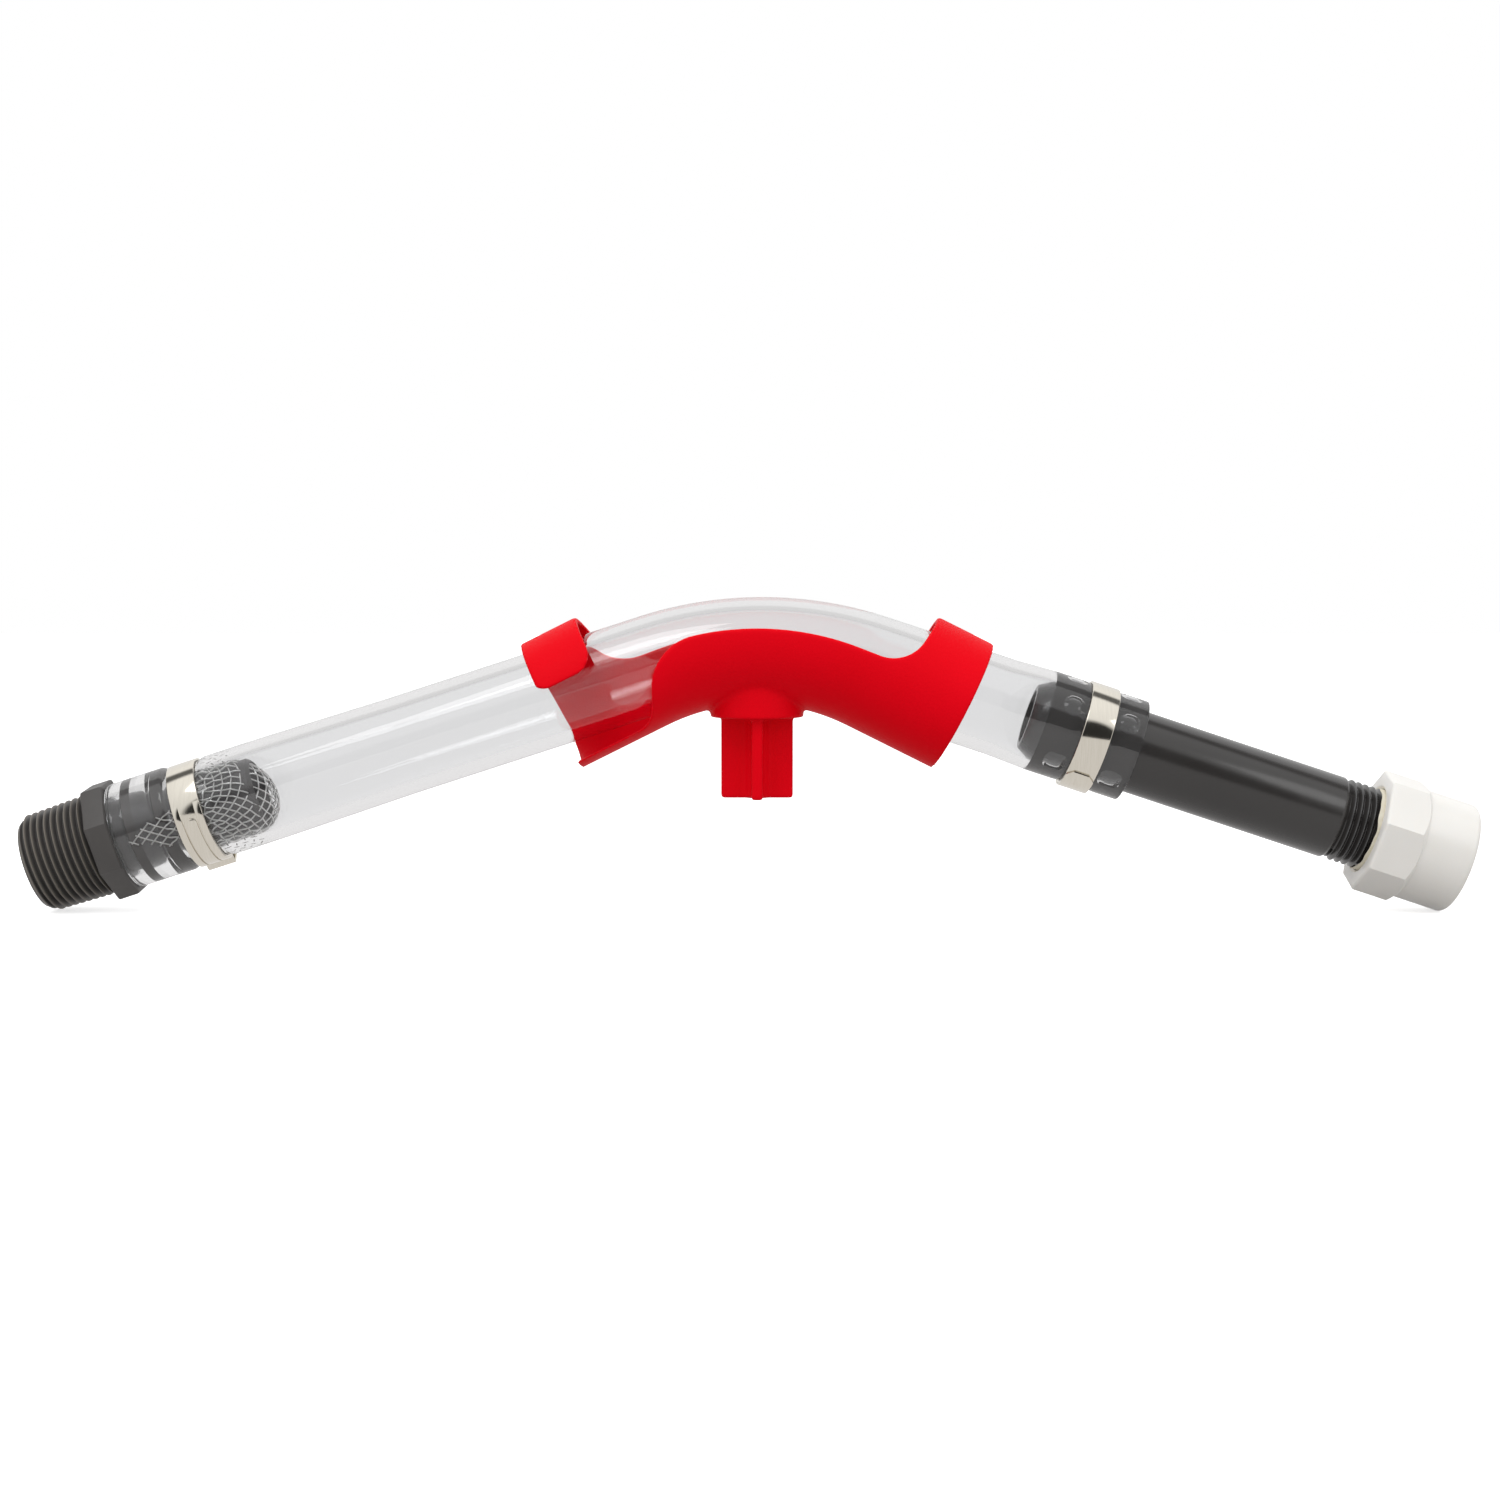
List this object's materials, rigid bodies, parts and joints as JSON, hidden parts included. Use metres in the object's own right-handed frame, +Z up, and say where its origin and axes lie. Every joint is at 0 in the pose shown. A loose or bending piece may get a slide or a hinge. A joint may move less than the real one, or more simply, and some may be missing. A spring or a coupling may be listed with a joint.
{
  "type": "gravel vacuum siphon",
  "caption": "Clear hose siphon bent over a hooked saddle, with a screened threaded intake fitting and a pipe nipple with a screwed-on socket adapter.",
  "frame": {"origin": "middle of the footprint, on the surface that the arch's two ends stand on", "axes": "+Z up, +X along the siphon from the screened intake to the outlet, +Y towards the back of the saddle"},
  "size_m": [0.3726, 0.0352, 0.0804],
  "materials": {
    "grey_pvc": "moulded grey PVC, soft gloss",
    "wire_cloth": "woven stainless wire",
    "stainless_strip": "rolled stainless strip",
    "clear_vinyl": "clear extruded vinyl",
    "red_moulding": "fine-grained red moulding",
    "nipple_pvc": "extruded dark grey PVC",
    "seal_tape": "wound PTFE tape",
    "white_pvc": "moulded white PVC"
  },
  "bodies": {
    "siphon": {"male_adapter": "grey_pvc", "strainer_screen": "wire_cloth", "intake_clamp": "stainless_strip", "vinyl_tube": "clear_vinyl", "saddle": "red_moulding", "outlet_clamp": "stainless_strip", "pipe_nipple": "nipple_pvc"},
    "tape_wrap": {"thread_seal_tape": "seal_tape"},
    "adapter": {"female_adapter": "white_pvc"}
  },
  "joints": [
    {"name": "adapter_turn", "type": "hinge", "parent": "siphon", "child": "tape_wrap", "pos_m": [0.15866, 0, 0.02103], "axis": [0.9492, 0, -0.3147], "range_deg": [0, 2160]},
    {"name": "adapter_travel", "type": "slide", "parent": "tape_wrap", "child": "adapter", "axis": [0.9492, 0, -0.3147], "range_m": [0, 0.0109]}
  ],
  "couplings": [
    {"joint": "adapter_travel", "follows": "adapter_turn", "m_per_rad": 0.00028871}
  ]
}
